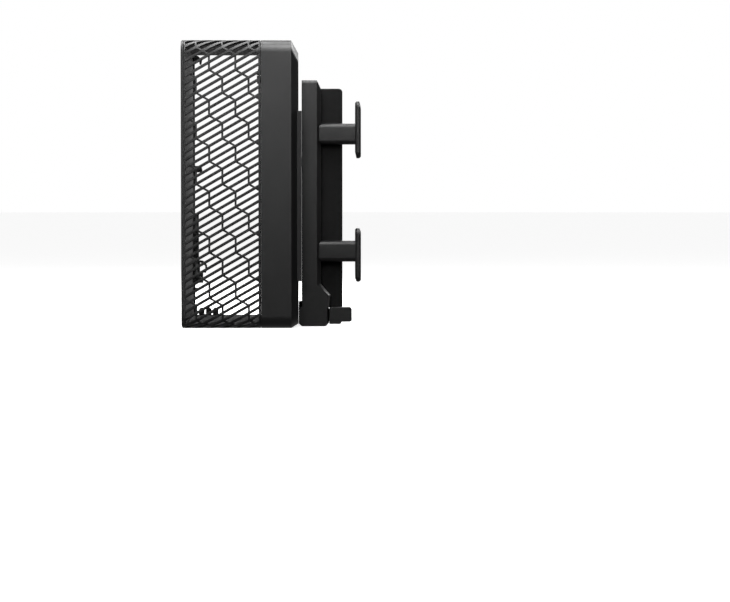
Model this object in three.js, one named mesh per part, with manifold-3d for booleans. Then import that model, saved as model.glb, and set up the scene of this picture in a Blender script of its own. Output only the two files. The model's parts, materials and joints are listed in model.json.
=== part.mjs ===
// A mini PC with a vented shroud, hanging on its quick-release mounting bracket.
// Millimetres. +X runs from the shroud towards the bracket, +Y towards the connectors and +Z up.
// The origin is on the standing surface, under the middle of the whole object.

import * as THREE from 'three';
import { mergeVertices } from 'three/addons/utils/BufferGeometryUtils.js';
import Module from 'manifold-3d';

const wasm = await Module();
wasm.setup();

// ---------------------------------------------------------------- driving dimensions

const HEIGHT = 202.4;            // standing height of the PC
const DEPTH = 182;               // near side to connector side
const WIDTH = 82.3;              // back of the tray to front of the face panel
const TRAY_WIDTH = 26.25;        // the solid band at the back
const CORNER_RADIUS = 8.5;       // long edges of the box on its near side
const FAR_RADIUS = 2;            // the same edges on the connector side
const SHELL = 1.6;               // wall of the shroud and the face panel
const TRAY_WALL = 2;
const GAP = 0.3;                 // clearance between two pieces that meet

const CHAMFER = 5;               // back edge of the tray, measured along its width
const TOP_CHAMFER = 9;           // the same facet measured down the back
const BOTTOM_CHAMFER = 2.8;

const OVERALL_WIDTH = 126.9;     // shroud front to the plates of the cable posts
const HALF_DEPTH = DEPTH / 2;
const BACK_X = WIDTH - OVERALL_WIDTH / 2;

// Honeycomb of the shroud: upright hexagons, each crossed by slats that rise at 30 degrees.
const HEX_SIDE = 10.65;
const HEX_ACROSS = HEX_SIDE * Math.sqrt(3);
const SLATS_PER_HEX = 4;
const SLAT = 2.05;
const RIB = 1.45;                // upright and falling edges of a hexagon
const RIM = 3.3;                 // plain strip beside the face panel
const SEAM = 1.4;                // plain strip beside the tray
const HEX_ROW_HEIGHT = 106.7;    // height of the row of upright ribs nearest the middle
const HEX_COLUMN = 10.6;         // first upright rib of that row, from the front

// Mounting plate and bracket
const PLATE_SIZE = 119.6;
const PLATE = 2.1;
const PLATE_GAP = 0.15;
const PLATE_HEIGHT = 93;         // middle of the plate above the standing surface
const SCREW_PITCH = 100;
const LIFT = 14;                 // travel of the PC on the bracket's keyholes
const BRACKET_HEIGHT = 175.5;
const BRACKET_X = BACK_X + PLATE + 2 * PLATE_GAP;
const BRACKET_HALF = 60;
const WEB = 3.5;
const THIN_WEB = 1.5;            // what is left of the web behind a stud's head
const PAD = 0.5;                 // raised seat for the column between the clamp cheeks
const SIDE_WALL = 14;

// Board
const BOARD = 1.6;
const BOARD_BACK = 5.6;          // from the back of the tray to the back of the board
const BOARD_FACE = BOARD_BACK + BOARD;
const BOARD_SPAN = { x: [16, 192], y: [-62, 84] };
const SEAT = 0.15;               // gap under a part that sits on the board
const ROOT = 0.2;                // how far a moulded or soldered feature starts inside its base

// ---------------------------------------------------------------- materials

function material(colour, roughness, metalness) {
  return new THREE.MeshStandardMaterial({ color: colour, roughness, metalness });
}

const blackShell = material(0x1d1d1e, 0.55, 0);
const blackBracket = material(0x202021, 0.5, 0);
const darkSheet = material(0x2a2b2d, 0.5, 0.6);
const zincSteel = material(0xb4b7ba, 0.35, 1);
const aluminium = material(0xc9ccd0, 0.4, 1);
const boardGreen = material(0x0f3a2a, 0.5, 0.1);
const blackPlastic = material(0x161617, 0.5, 0);
const portSteel = material(0xc4c6c8, 0.3, 1);
const nickel = material(0xb9babc, 0.3, 1);
const lightPipe = material(0xe8eef2, 0.2, 0);
const cableBlack = material(0x0c0c0d, 0.6, 0);

// ---------------------------------------------------------------- solids

function solid(geometry) {
  const bare = geometry.clone();
  bare.deleteAttribute('normal');
  bare.deleteAttribute('uv');
  const merged = mergeVertices(bare, 1e-4);
  const vertProperties = Float32Array.from(merged.attributes.position.array);
  const triVerts = Uint32Array.from(merged.index.array);
  return new wasm.Manifold(new wasm.Mesh({ numProp: 3, vertProperties, triVerts }));
}

function geometryOf(shape) {
  const mesh = shape.getMesh();
  const geometry = new THREE.BufferGeometry();
  geometry.setAttribute('position', new THREE.BufferAttribute(Float32Array.from(mesh.vertProperties), 3));
  geometry.setIndex(new THREE.BufferAttribute(Uint32Array.from(mesh.triVerts), 1));
  geometry.computeVertexNormals();
  return geometry;
}

// A box between two values on each axis.
function box([x0, x1], [y0, y1], [z0, z1]) {
  const geometry = new THREE.BoxGeometry(x1 - x0, y1 - y0, z1 - z0);
  geometry.translate((x0 + x1) / 2, (y0 + y1) / 2, (z0 + z1) / 2);
  return solid(geometry);
}

// A round bar along Z between two heights.
function bar(radius, [z0, z1], x = 0, y = 0, sides = 24) {
  const geometry = new THREE.CylinderGeometry(radius, radius, z1 - z0, sides);
  geometry.rotateX(Math.PI / 2);
  geometry.translate(x, y, (z0 + z1) / 2);
  return solid(geometry);
}

// A straight prism of any outline, along Z from z0 to z1.
function prism(outline, [z0, z1], holes = []) {
  const shape = new THREE.Shape(outline);
  shape.holes = holes.map((hole) => new THREE.Path(hole));
  const geometry = new THREE.ExtrudeGeometry(shape, { depth: z1 - z0, bevelEnabled: false });
  geometry.translate(0, 0, z0);
  return solid(geometry);
}

// A solid of revolution about Z; the profile lists [radius, height] and ends on the axis.
function turned(profile, sides = 24) {
  const points = profile.map(([radius, height]) => new THREE.Vector2(radius, height));
  const geometry = new THREE.LatheGeometry(points, sides);
  geometry.rotateX(Math.PI / 2);
  return solid(geometry);
}

// A skin through outlines of equal length at rising heights, closed at both ends.
function loft(stations) {
  const count = stations[0].outline.length;
  const positions = [];
  for (const { outline, height } of stations) {
    for (const point of outline) positions.push(point.x, point.y, height);
  }
  const index = [];
  for (let level = 0; level < stations.length - 1; level += 1) {
    for (let i = 0; i < count; i += 1) {
      const a = level * count + i;
      const b = level * count + ((i + 1) % count);
      index.push(a, b, b + count, a, b + count, a + count);
    }
  }
  const cap = THREE.ShapeUtils.triangulateShape(stations[0].outline, []);
  const top = (stations.length - 1) * count;
  for (const [a, b, c] of cap) {
    index.push(a, c, b);
    index.push(a + top, b + top, c + top);
  }
  const geometry = new THREE.BufferGeometry();
  geometry.setAttribute('position', new THREE.Float32BufferAttribute(positions, 3));
  geometry.setIndex(index);
  return solid(geometry);
}

// ---------------------------------------------------------------- outlines

// A rounded rectangle, anticlockwise, with arcs of `steps` chords at its corners. The two corners
// at y1 can have a radius of their own.
function roundedRectangle([x0, x1], [y0, y1], nearRadius, steps = 5, farRadius = nearRadius) {
  const corners = [
    [x1 - nearRadius, y0 + nearRadius, nearRadius, -Math.PI / 2],
    [x1 - farRadius, y1 - farRadius, farRadius, 0],
    [x0 + farRadius, y1 - farRadius, farRadius, Math.PI / 2],
    [x0 + nearRadius, y0 + nearRadius, nearRadius, Math.PI],
  ];
  const points = [];
  for (const [cx, cy, radius, start] of corners) {
    for (let i = 0; i <= steps; i += 1) {
      const angle = start + (i / steps) * (Math.PI / 2);
      points.push(new THREE.Vector2(cx + radius * Math.cos(angle), cy + radius * Math.sin(angle)));
    }
  }
  return points;
}

// The PC's outline, drawn in by the same amount all round.
function caseOutline(inset, bottom = 0, top = HEIGHT, side = HALF_DEPTH) {
  const near = CORNER_RADIUS - inset;
  const far = Math.max(FAR_RADIUS - inset, 0.5);
  return roundedRectangle([bottom + inset, top - inset], [inset - side, side - inset], near, 5, far);
}

function polygon(points) {
  return points.map(([x, y]) => new THREE.Vector2(x, y));
}

function circle(cx, cy, radius, sides = 24) {
  const points = [];
  for (let i = 0; i < sides; i += 1) {
    const angle = (i / sides) * 2 * Math.PI;
    points.push(new THREE.Vector2(cx + radius * Math.cos(angle), cy + radius * Math.sin(angle)));
  }
  return points;
}

// The part of a convex polygon where normal . point <= limit.
function clip(points, normal, limit) {
  const kept = [];
  points.forEach((point, i) => {
    const next = points[(i + 1) % points.length];
    const here = normal.dot(point) - limit;
    const there = normal.dot(next) - limit;
    if (here <= 0) kept.push(point);
    if (here * there < 0) kept.push(point.clone().lerp(next, here / (here - there)));
  });
  return kept;
}

function area(points) {
  return points.length < 3 ? 0 : Math.abs(THREE.ShapeUtils.area(points));
}

// Slits of the honeycomb inside the rectangle [a0, a1] by [b0, b1]. a runs from the front towards
// the tray and b along the skin, so the slats rise towards +a. Rows of ribs lie at
// b = rowAt + n * 1.5 * HEX_SIDE, and a slit narrower than `least` square millimetres is left out.
function slits([a0, a1], [b0, b1], rowAt, perHex, slat, least = 4) {
  const falling = new THREE.Vector2(Math.sin(Math.PI / 6), Math.cos(Math.PI / 6));
  const rising = new THREE.Vector2(-falling.x, falling.y);
  const rowStep = 1.5 * HEX_SIDE;
  const holes = [];
  const firstRow = Math.floor((b0 - rowAt) / rowStep) - 1;
  const lastRow = Math.ceil((b1 - rowAt) / rowStep) + 1;
  for (let row = firstRow; row <= lastRow; row += 1) {
    const shift = row % 2 === 0 ? HEX_ACROSS / 2 : 0;
    for (let column = -1; column * HEX_ACROSS < a1 - a0 + 2 * HEX_ACROSS; column += 1) {
      const centre = new THREE.Vector2(HEX_COLUMN + shift + column * HEX_ACROSS, rowAt + row * rowStep);
      const pitch = HEX_ACROSS / perHex;
      for (let slit = 0; slit < perHex; slit += 1) {
        const low = -HEX_ACROSS / 2 + slit * pitch + slat / 2;
        const high = low + pitch - slat;
        let hole = polygon([[-99, -99], [99, -99], [99, 99], [-99, 99]]);
        hole = clip(hole, rising, high);
        hole = clip(hole, rising.clone().negate(), -low);
        for (const normal of [new THREE.Vector2(1, 0), falling]) {
          hole = clip(hole, normal, (HEX_ACROSS - RIB) / 2);
          hole = clip(hole, normal.clone().negate(), (HEX_ACROSS - RIB) / 2);
        }
        hole = hole.map((point) => point.add(centre));
        hole = clip(hole, new THREE.Vector2(1, 0), a1);
        hole = clip(hole, new THREE.Vector2(-1, 0), -a0);
        hole = clip(hole, new THREE.Vector2(0, 1), b1);
        hole = clip(hole, new THREE.Vector2(0, -1), -b0);
        hole = hole.filter((point, i) => point.distanceTo(hole[(i + 1) % hole.length]) > 0.05);
        if (area(hole) > least) holes.push(hole);
      }
    }
  }
  return holes;
}

// ---------------------------------------------------------------- scene graph

const miniPc = new THREE.Group();

// The PC is modelled lying on its back: x runs up the standing PC, y towards the connectors and
// z from the back of the tray to the front of the face panel.
const pc = new THREE.Group();
pc.position.x = BACK_X;
pc.rotation.y = -Math.PI / 2;
miniPc.add(pc);

// The bracket keeps the axes of the whole object; its x starts at the face behind the plate.
const bracket = new THREE.Group();
bracket.position.x = BRACKET_X;
miniPc.add(bracket);

function addPiece(group, name, shape, finish, [x, y, z] = [0, 0, 0]) {
  const mesh = new THREE.Mesh(geometryOf(shape), finish);
  mesh.name = name;
  mesh.position.set(x, y, z);
  group.add(mesh);
  return mesh;
}

// ---------------------------------------------------------------- rear tray

const BOARD_HOLES = [[22, -56], [22, 60], [126, -56], [186, 60]];
const HOLE_OFFSETS = [[-1, -1], [-1, 1], [1, -1], [1, 1]];
const HALF_PITCH = SCREW_PITCH / 2;
const PLATE_HOLES = HOLE_OFFSETS.map(([i, j]) => [PLATE_HEIGHT + i * HALF_PITCH, j * HALF_PITCH]);
const WINDOW = { x: [22, 182], z: [5.4, 23.6] };
const BUTTON = { y: 74, z: 14, radius: 4, travel: 1.2 };
const LIGHT = { y: 62, z: 14, radius: 1.3 };
const BOARD_BOSS = { radius: 3, hole: 1.6 };
const PLATE_BOSS = { radius: 4.5, hole: 2.3, top: 4.8 };
const KEEPER = { x: 7.5, y: -(BRACKET_HALF - SIDE_WALL / 2), radius: 2.5 };

// The outline of the chamfered back, at the same inset from the tray's outer skin.
function backOutline(inset) {
  return caseOutline(inset, BOTTOM_CHAMFER, HEIGHT - TOP_CHAMFER, HALF_DEPTH - CHAMFER);
}

function trayOutside() {
  return loft([
    { outline: backOutline(0), height: 0 },
    { outline: caseOutline(0), height: CHAMFER },
    { outline: caseOutline(0), height: TRAY_WIDTH },
  ]);
}

function trayInside() {
  return loft([
    { outline: backOutline(TRAY_WALL), height: TRAY_WALL },
    { outline: caseOutline(TRAY_WALL), height: TRAY_WALL + CHAMFER },
    { outline: caseOutline(TRAY_WALL), height: TRAY_WIDTH + 1 },
  ]);
}

function rearTray() {
  let tray = trayOutside().subtract(trayInside());
  for (const [x, y] of BOARD_HOLES) {
    tray = tray.add(bar(BOARD_BOSS.radius, [TRAY_WALL - ROOT, BOARD_BACK - GAP], x, y, 16));
    tray = tray.subtract(bar(BOARD_BOSS.hole, [TRAY_WALL - ROOT, BOARD_BACK], x, y, 12));
  }
  for (const [x, y] of PLATE_HOLES) {
    tray = tray.add(bar(PLATE_BOSS.radius, [TRAY_WALL - ROOT, PLATE_BOSS.top], x, y, 16));
    tray = tray.subtract(bar(PLATE_BOSS.hole, [-1, PLATE_BOSS.top + 1], x, y, 16));
  }
  tray = tray.subtract(box(WINDOW.x, [HALF_DEPTH - 5, HALF_DEPTH + 1], WINDOW.z));
  tray = tray.subtract(bar(KEEPER.radius, [-1, TRAY_WALL + 1], KEEPER.x, KEEPER.y, 16));
  tray = tray.subtract(acrossTop(BUTTON.radius + GAP, BUTTON));
  tray = tray.subtract(acrossTop(LIGHT.radius + GAP, LIGHT));
  return tray;
}

// A round hole through the tray's top wall, for the power button or the light.
function acrossTop(radius, { y, z }) {
  const length = 6;
  const geometry = new THREE.CylinderGeometry(radius, radius, length, 24);
  geometry.rotateZ(Math.PI / 2);
  geometry.translate(HEIGHT, y, z);
  return solid(geometry);
}

addPiece(pc, 'rear_tray', rearTray(), blackShell);

// ---------------------------------------------------------------- inner cover

const FAN = { x: 163, y: -45, radius: 26 };
const COVER = 1.5;
const COVER_TOP = TRAY_WIDTH - GAP;
const THUMB = { x: 184, y: 76 };

function innerCover() {
  const outline = caseOutline(TRAY_WALL + GAP);
  const slotCount = 9;
  const slotStep = (2 * FAN.radius) / slotCount;
  const slotHoles = [];
  for (let i = 0; i < slotCount; i += 1) {
    const offset = (i - (slotCount - 1) / 2) * slotStep;
    const half = Math.sqrt((FAN.radius - 1) ** 2 - offset ** 2);
    const x = FAN.x + offset;
    const rows = [x - slotStep / 4, x + slotStep / 4];
    slotHoles.push(roundedRectangle(rows, [FAN.y - half, FAN.y + half], 1.2, 2));
  }
  const nutHole = circle(THUMB.x, THUMB.y, 2.4, 16);
  return prism(outline, [COVER_TOP - COVER, COVER_TOP], [...slotHoles, nutHole]);
}

addPiece(pc, 'inner_cover', innerCover(), darkSheet);

// ---------------------------------------------------------------- screws

const BOARD_SCREW = { headRadius: 2.8, headHeight: 1.9, shankRadius: 1.35, length: 4.4 };
const PLATE_SCREW = { headRadius: 3.7, headHeight: 1.7, shankRadius: 2, length: 6.2 };

// Pan-head screw standing on z = 0, its shank pointing down.
function panScrew({ headRadius, headHeight, shankRadius, length }) {
  const socket = prism(circle(0, 0, headRadius * 0.45, 6), [headHeight * 0.45, headHeight + 1]);
  const body = turned([
    [0, -length],
    [shankRadius, -length],
    [shankRadius, 0],
    [headRadius, 0],
    [headRadius, headHeight * 0.6],
    [headRadius * 0.75, headHeight],
    [0, headHeight],
  ], 12);
  return body.subtract(socket);
}

// Countersunk screw with its head flush at z = 0, its shank pointing up.
function flushScrew({ headRadius, headHeight, shankRadius, length }) {
  const socket = prism(circle(0, 0, shankRadius * 0.6, 6), [-1, headHeight * 0.6]);
  const body = turned([
    [0, 0],
    [headRadius, 0],
    [shankRadius, headHeight],
    [shankRadius, length],
    [0, length],
  ], 12);
  return body.subtract(socket);
}

BOARD_HOLES.forEach(([x, y], i) => {
  addPiece(pc, `board_screw_${i + 1}`, panScrew(BOARD_SCREW), zincSteel, [x, y, BOARD_FACE + SEAT]);
});

// ---------------------------------------------------------------- adapter plate

const PLATE_BACK = -PLATE_GAP - PLATE;
const PLATE_EDGE = HALF_DEPTH - 2.4;
const PLATE_LIP = 1;             // how far a side edge reaches over its chamfer
const SCREW_PLAY = 0.4;
const STUDS = [-22, 22];
const STUD_HEIGHT = 118;
const STUD = { neck: 3, head: 5.5, headThickness: 1.6 };

// A prism along the height of an outline whose points are [y, z] in the PC's frame.
function alongHeight(outline, [x0, x1]) {
  const matrix = new THREE.Matrix4().makeBasis(
    new THREE.Vector3(0, 1, 0),
    new THREE.Vector3(0, 0, 1),
    new THREE.Vector3(1, 0, 0),
  );
  return prism(outline, [x0, x1]).transform(matrix.toArray());
}

// The plate spans the tray's whole back, and its two side edges turn in over the chamfers.
function adapterPlate() {
  const half = PLATE_SIZE / 2;
  const chamferFoot = HALF_DEPTH - CHAMFER + GAP * Math.SQRT2;
  const halfOutline = [
    [PLATE_EDGE, PLATE_BACK],
    [PLATE_EDGE, PLATE_LIP],
    [chamferFoot + PLATE_LIP, PLATE_LIP],
    [chamferFoot - PLATE_GAP, -PLATE_GAP],
  ];
  const mirrored = halfOutline.map(([y, z]) => [-y, z]).reverse();
  const outline = polygon([...halfOutline, ...mirrored]);
  let plate = alongHeight(outline, [PLATE_HEIGHT - half, PLATE_HEIGHT + half]);
  const { headRadius, headHeight, shankRadius } = PLATE_SCREW;
  const sink = turned([
    [0, -0.1],
    [headRadius + SCREW_PLAY, -0.1],
    [shankRadius + SCREW_PLAY, headHeight],
    [shankRadius + SCREW_PLAY, PLATE + 1],
    [0, PLATE + 1],
  ], 16);
  for (const [x, y] of PLATE_HOLES) {
    plate = plate.subtract(sink.translate([x, y, PLATE_BACK]));
  }
  for (const y of STUDS) {
    plate = plate.subtract(bar(STUD.neck + GAP, [PLATE_BACK - 1, 1], STUD_HEIGHT, y));
  }
  return plate;
}

addPiece(pc, 'adapter_plate', adapterPlate(), darkSheet);

PLATE_HOLES.forEach(([x, y], i) => {
  addPiece(pc, `plate_screw_${i + 1}`, flushScrew(PLATE_SCREW), zincSteel, [x, y, PLATE_BACK]);
});

// Mushroom stud riveted in the plate; its head hooks behind the thin half of the bracket's web.
function hangerStud() {
  const neckLength = PLATE + PLATE_GAP + THIN_WEB + GAP;
  return turned([
    [0, -neckLength - STUD.headThickness],
    [STUD.head - 0.6, -neckLength - STUD.headThickness],
    [STUD.head, -neckLength - STUD.headThickness + 0.6],
    [STUD.head, -neckLength],
    [STUD.neck, -neckLength],
    [STUD.neck, 0],
    [0, 0],
  ]);
}

STUDS.forEach((y, i) => {
  addPiece(pc, `hanger_stud_${i + 1}`, hangerStud(), zincSteel, [STUD_HEIGHT, y, -PLATE_GAP]);
});

// ---------------------------------------------------------------- main board

const CHOKES = { count: 5, x: 134, pitch: 9, length: 7, y: [-11, -4], height: 2 };
const CONTROLLER = { x: [112, 130], y: [44, 62], height: 2.4 };

function mainBoard() {
  const holes = BOARD_HOLES.map(([x, y]) => circle(x, y, BOARD_SCREW.shankRadius + GAP, 12));
  const outline = roundedRectangle(BOARD_SPAN.x, BOARD_SPAN.y, 2, 2);
  let board = prism(outline, [BOARD_BACK, BOARD_FACE], holes);
  // A row of chokes for the processor's supply, soldered on.
  for (let i = 0; i < CHOKES.count; i += 1) {
    const x = CHOKES.x + i * CHOKES.pitch;
    const levels = [BOARD_FACE - ROOT, BOARD_FACE + CHOKES.height];
    board = board.add(box([x, x + CHOKES.length], CHOKES.y, levels));
  }
  // The platform controller
  return board.add(box(CONTROLLER.x, CONTROLLER.y, [BOARD_FACE - ROOT, BOARD_FACE + CONTROLLER.height]));
}

addPiece(pc, 'main_board', mainBoard(), boardGreen);

const onBoard = BOARD_FACE + SEAT;

// ---------------------------------------------------------------- processor and cooling

const CPU = { x: 163, y: 22 };

function processorSocket() {
  const frame = roundedRectangle([-20, 20], [-23, 23], 1.5, 2);
  const well = roundedRectangle([-17, 17], [-19.5, 19.5], 0.8, 2);
  const floor = box([-18, 18], [-21, 21], [0, 1]);
  return prism(frame, [0, 3.2], [well]).add(floor);
}

function processor() {
  const substrate = prism(roundedRectangle([-16.6, 16.6], [-19.1, 19.1], 0.6, 2), [1 + SEAT, 2.2]);
  const spreader = prism(roundedRectangle([-13, 13], [-15.5, 15.5], 1.5, 3), [2.1, 4.6]);
  return substrate.add(spreader);
}

addPiece(pc, 'processor_socket', processorSocket(), blackPlastic, [CPU.x, CPU.y, onBoard]);
addPiece(pc, 'processor', processor(), nickel, [CPU.x, CPU.y, onBoard]);

// Heat sink with fins along y, so that the blower's air passes straight through to the vent.
function heatSink() {
  const baseHalf = 25;
  const base = 2.6;
  const finTop = 10.4;
  const finCount = 15;
  const fin = 1;
  const step = (2 * baseHalf - fin) / (finCount - 1);
  const profile = [[-baseHalf, 0], [baseHalf, 0]];
  for (let i = finCount - 1; i >= 0; i -= 1) {
    const left = -baseHalf + i * step;
    profile.push([left + fin, base], [left + fin, finTop], [left, finTop], [left, base]);
  }
  // The outer fins run down to the base without a step.
  profile.splice(2, 1);
  profile.pop();
  const length = 72;
  const geometry = new THREE.ExtrudeGeometry(
    new THREE.Shape(polygon(profile)),
    { depth: length, bevelEnabled: false },
  );
  geometry.rotateX(Math.PI / 2);
  geometry.translate(0, length / 2, 0);
  return solid(geometry);
}

addPiece(pc, 'heat_sink', heatSink(), aluminium, [CPU.x, CPU.y + 4, onBoard + 4.6 + SEAT]);

const BLOWER = { half: 31, bottom: BOARD_FACE + 2.2, top: 21.6, cavity: 28, inlet: 19, wall: 1 };

function blowerHousing() {
  const { half, bottom, top, cavity, inlet, wall } = BLOWER;
  let housing = prism(roundedRectangle([-half, half], [-half, half], 9, 4), [bottom, top]);
  const inner = [bottom + wall, top - wall];
  housing = housing.subtract(bar(cavity, inner, 0, 0, 32));
  housing = housing.subtract(bar(inlet, [top - 2 * wall, top + 1], 0, 0, 32));
  housing = housing.subtract(box([-22, cavity - 1], [8, half + 1], inner));
  return housing;
}

addPiece(pc, 'blower_housing', blowerHousing(), blackPlastic, [FAN.x, FAN.y, 0]);

function fanRotor() {
  const low = BLOWER.bottom + BLOWER.wall + 0.6;
  const high = BLOWER.top - BLOWER.wall - 0.6;
  const bladeCount = 17;
  let rotor = bar(11, [low, high], 0, 0, 32);
  rotor = rotor.add(bar(FAN.radius, [low, low + 1], 0, 0, 34));
  for (let i = 0; i < bladeCount; i += 1) {
    const blade = new THREE.BoxGeometry(16, 0.9, high - low - 0.5);
    blade.rotateZ(0.5);
    blade.translate(17.6, 1, (low + high) / 2);
    blade.rotateZ((i / bladeCount) * 2 * Math.PI);
    rotor = rotor.add(solid(blade));
  }
  return rotor;
}

const fan = new THREE.Group();
fan.position.set(FAN.x, FAN.y, 0);
pc.add(fan);
addPiece(fan, 'fan_rotor', fanRotor(), blackPlastic);

// ---------------------------------------------------------------- memory, drive, radio, cell

// Modules lie flat over the board, their edge in a socket. x runs away from the connectors' end.
const MEMORY = { length: 69.6, width: 30, level: 2.7, thickness: 1.2, chip: 11, chips: [-24, -8, 8, 24] };
const MEMORY_SOCKET = { depth: 6, height: 5.2, arm: 1.5, armReach: 20, armHeight: 4.4, slot: [2.4, 4.2] };
const MEMORY_PLACES = [26, 66];
const MEMORY_Y = -24;
const CARD = { half: 11, level: 2, thickness: 0.8 };
const CARD_SOCKET = { depth: 6, height: 4.6, slot: [1.6, 3.2] };
const DRIVE = { length: 80, chips: [[8, 24, 8], [28, 44, 7], [50, 64, 7]], chipHeight: 1.2 };
const RADIO = { length: 30, shield: [4, 26], shieldHalf: 9, shieldHeight: 1.6, socket: [-5, 1] };

function memorySocket() {
  const { depth, height, arm, armReach, armHeight, slot } = MEMORY_SOCKET;
  const half = MEMORY.length / 2 + 2;
  const mouth = [-half + arm + ROOT, half - arm - ROOT];
  let socket = box([0, depth], [-half, half], [0, height]);
  socket = socket.subtract(box([-1, depth / 2], mouth, slot));
  for (const span of [[-half, -half + arm], [half - arm, half]]) {
    socket = socket.add(box([-armReach, 1], span, [0, armHeight]));
  }
  return socket;
}

function memoryModule() {
  const { length, width, level, thickness, chip, chips } = MEMORY;
  const half = length / 2 - GAP;
  const top = level + thickness;
  let module = box([0, width], [-half, half], [level, top]);
  for (const y of chips) {
    module = module.add(box([8, 20], [y - chip / 2, y + chip / 2], [top - ROOT, top + 0.9]));
  }
  return module;
}

MEMORY_PLACES.forEach((x, i) => {
  const socketAt = [x + MEMORY.width - 2, MEMORY_Y, onBoard];
  addPiece(pc, `memory_socket_${i + 1}`, memorySocket(), blackPlastic, socketAt);
  addPiece(pc, `memory_module_${i + 1}`, memoryModule(), boardGreen, [x, MEMORY_Y, onBoard]);
});

// A bare expansion card of the given length.
function bareCard(length) {
  return box([0, length], [-CARD.half, CARD.half], [CARD.level, CARD.level + CARD.thickness]);
}

const CARD_TOP = CARD.level + CARD.thickness;

function driveModule() {
  let card = bareCard(DRIVE.length);
  for (const [start, end, half] of DRIVE.chips) {
    card = card.add(box([start, end], [-half, half], [CARD_TOP - ROOT, CARD_TOP + DRIVE.chipHeight]));
  }
  return card;
}

function cardSocket() {
  const { depth, height, slot } = CARD_SOCKET;
  const block = box([0, depth], [-CARD.half, CARD.half], [0, height]);
  return block.subtract(box([-1, depth / 2], [-CARD.half - 1, CARD.half + 1], slot));
}

const DRIVE_PLACE = [22.5, 30, onBoard];
const DRIVE_SOCKET_PLACE = [DRIVE_PLACE[0] + DRIVE.length - 2.5, DRIVE_PLACE[1], onBoard];
addPiece(pc, 'drive_socket', cardSocket(), blackPlastic, DRIVE_SOCKET_PLACE);
addPiece(pc, 'drive_module', driveModule(), boardGreen, DRIVE_PLACE);

// The radio card and its socket, soldered together.
function radioCard() {
  const { length, shield, shieldHalf, shieldHeight, socket } = RADIO;
  const can = box(shield, [-shieldHalf, shieldHalf], [CARD_TOP - ROOT, CARD_TOP + shieldHeight]);
  const socketBlock = box(socket, [-CARD.half, CARD.half], [0, CARD_SOCKET.height]);
  return bareCard(length).add(can).add(socketBlock);
}

addPiece(pc, 'radio_card', radioCard(), portSteel, [66, 56, onBoard]);

function coinCell() {
  return turned([
    [0, 0],
    [8.6, 0],
    [8.6, 0.6],
    [10, 0.9],
    [10, 3.2],
    [0, 3.2],
  ], 32);
}

addPiece(pc, 'coin_cell', coinCell(), nickel, [112, 8, onBoard]);

// ---------------------------------------------------------------- speaker, antennas and leads

const SPEAKER = { half: [22, 9], height: 12, cone: 7.5, dustCap: 5 };
const ANTENNA = { half: 16, thickness: 0.8, height: 8, slot: [3.4, 4.4] };

function speaker() {
  const [halfX, halfY] = SPEAKER.half;
  const cabinet = prism(roundedRectangle([-halfX, halfX], [-halfY, halfY], 3, 3), [0, SPEAKER.height]);
  const cone = bar(SPEAKER.cone, [SPEAKER.height - 1, SPEAKER.height + 1]);
  const dustCap = bar(SPEAKER.dustCap, [SPEAKER.height - 1.5, SPEAKER.height - 0.4]);
  return cabinet.subtract(cone).add(dustCap);
}

const NEAR_STRIP = -HALF_DEPTH + TRAY_WALL + 15;
addPiece(pc, 'speaker', speaker(), blackPlastic, [62, NEAR_STRIP, TRAY_WALL + GAP]);

function antenna() {
  const { half, thickness, height, slot } = ANTENNA;
  const foil = box([-half, half], [0, thickness], [0, height]);
  return foil.subtract(box([6 - half, half + 1], [-1, thickness + 1], slot));
}

const ANTENNAS = [28, 108];
ANTENNAS.forEach((x, i) => {
  addPiece(pc, `antenna_${i + 1}`, antenna(), zincSteel, [x, -HALF_DEPTH + TRAY_WALL + GAP, 9]);
});

// A lead is a round cable through a few points in the PC's frame.
function lead(points, radius) {
  const path = new THREE.CatmullRomCurve3(points.map(([x, y, z]) => new THREE.Vector3(x, y, z)));
  const section = new THREE.Shape(circle(0, 0, radius, 8));
  const geometry = new THREE.ExtrudeGeometry(section, {
    steps: 3 * points.length,
    bevelEnabled: false,
    extrudePath: path,
  });
  return solid(geometry);
}

const leadHeight = onBoard + 6.5;
addPiece(pc, 'fan_lead', lead([
  [131.4, -52, leadHeight],
  [126, -50, leadHeight],
  [122, -40, leadHeight - 3],
  [116, -34, BOARD_FACE + 2],
  [110, -32, BOARD_FACE + 2],
], 1.2), cableBlack);

ANTENNAS.forEach((x, i) => {
  const start = 71 + 4 * i;
  const across = 99.5 + 3 * i;
  addPiece(pc, `antenna_lead_${i + 1}`, lead([
    [start, 56, onBoard + 5.2],
    [start + 4, 50, onBoard + 7],
    [across, 10, onBoard + 7],
    [across, -40, onBoard + 7],
    [across - 4 * (1 - i), -76, onBoard + 8],
    [x + (i === 0 ? 22 : -6), -83, onBoard + 9],
    [x + (i === 0 ? 8 : 0), -86.4, onBoard + 9.4],
  ], 0.7), cableBlack);
});

// ---------------------------------------------------------------- connectors

const PORT_FACE = HALF_DEPTH - 0.4;
const SHIELD_FACE = [HALF_DEPTH - 1.9, HALF_DEPTH - 0.3];

// A shell with a socket in its outer face and a tongue standing in it. x is centred, z starts
// on the board and y runs to the mouth.
function port({ width, height, depth, socket, tongue }) {
  let shell = box([-width / 2, width / 2], [-depth, 0], [0, height]);
  for (const [z0, z1] of socket.levels) {
    shell = shell.subtract(box([-socket.width / 2, socket.width / 2], [-socket.depth, 1], [z0, z1]));
    if (tongue) {
      const middle = (z0 + z1) / 2;
      const half = tongue.thickness / 2;
      const reach = [-socket.depth - 0.5, -tongue.recess];
      shell = shell.add(box([-tongue.width / 2, tongue.width / 2], reach, [middle - half, middle + half]));
    }
  }
  return shell;
}

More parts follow.
